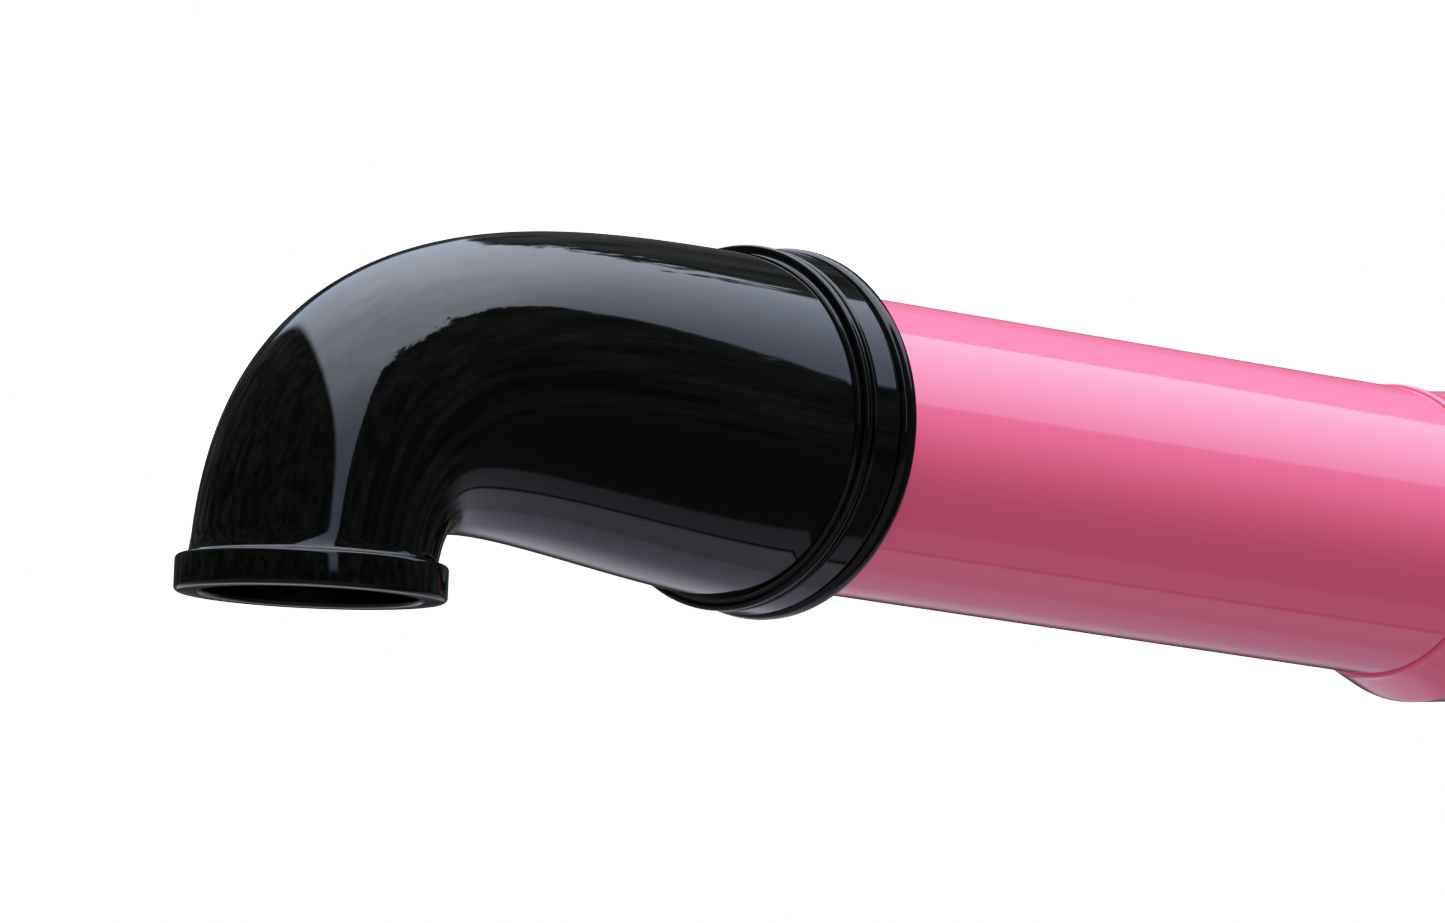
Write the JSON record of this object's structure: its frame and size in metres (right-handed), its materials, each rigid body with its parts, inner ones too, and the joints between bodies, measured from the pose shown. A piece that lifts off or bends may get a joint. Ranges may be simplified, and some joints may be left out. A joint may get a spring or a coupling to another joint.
{
  "type": "snorkel tube",
  "caption": "Diving snorkel tube with a swivelling mouthpiece elbow, a sliding mask strap keeper and a float valve under a vented cover; the mouthpiece is left off.",
  "frame": {"origin": "centre of the mouthpiece port, on the face of its rim", "axes": "-Z out of the mouthpiece port; +X along the straight tube, away from the elbow; the part is the same on both sides of the XZ plane"},
  "size_m": [0.3778, 0.0436, 0.0522],
  "materials": {
    "black_gloss": "high gloss black moulding",
    "pink_gloss": "high gloss pink moulding",
    "black_satin": "satin black moulding",
    "seal_rubber": "smooth black rubber",
    "pale_silicone": "translucent pale silicone",
    "float_foam": "closed cell foam, orange",
    "steel": "stainless steel",
    "reflective": "silver reflective film"
  },
  "bodies": {
    "elbow": {"elbow": "black_gloss", "retaining_ring": "black_gloss"},
    "tube": {"lower_tube": "pink_gloss", "swivel_seal": "seal_rubber", "joint_seal": "seal_rubber", "upper_tube": "pink_gloss", "collar_seal": "seal_rubber", "valve_body": "black_gloss", "seat_ring": "pale_silicone", "float_pin": "steel", "cover": "black_gloss", "cover_screws": "steel", "safety_band": "reflective"},
    "keeper": {"keeper_sleeve": "black_satin", "gate_pin": "steel"},
    "gate": {"strap_gate": "black_satin"},
    "float": {"float_arm": "black_satin", "seal_disc": "pale_silicone", "seal_button": "pale_silicone", "float": "float_foam"}
  },
  "joints": [
    {"name": "elbow_swivel", "type": "hinge", "parent": "elbow", "child": "tube", "pos_m": [0.0565, 0, 0.0192], "axis": [1, 0, 0], "continuous": true},
    {"name": "keeper_slide", "type": "slide", "parent": "tube", "child": "keeper", "axis": [0.9945, 0, 0.1045], "range_m": [-0.023, 0.008]},
    {"name": "gate_hinge", "type": "hinge", "parent": "keeper", "child": "gate", "pos_m": [0.16163, 0, 0.00182], "axis": [0, 1, 0], "range_deg": [0, 85]},
    {"name": "float_hinge", "type": "hinge", "parent": "tube", "child": "float", "pos_m": [0.33295, 0, 0.02832], "axis": [0, -1, 0], "range_deg": [0, 24]}
  ]
}
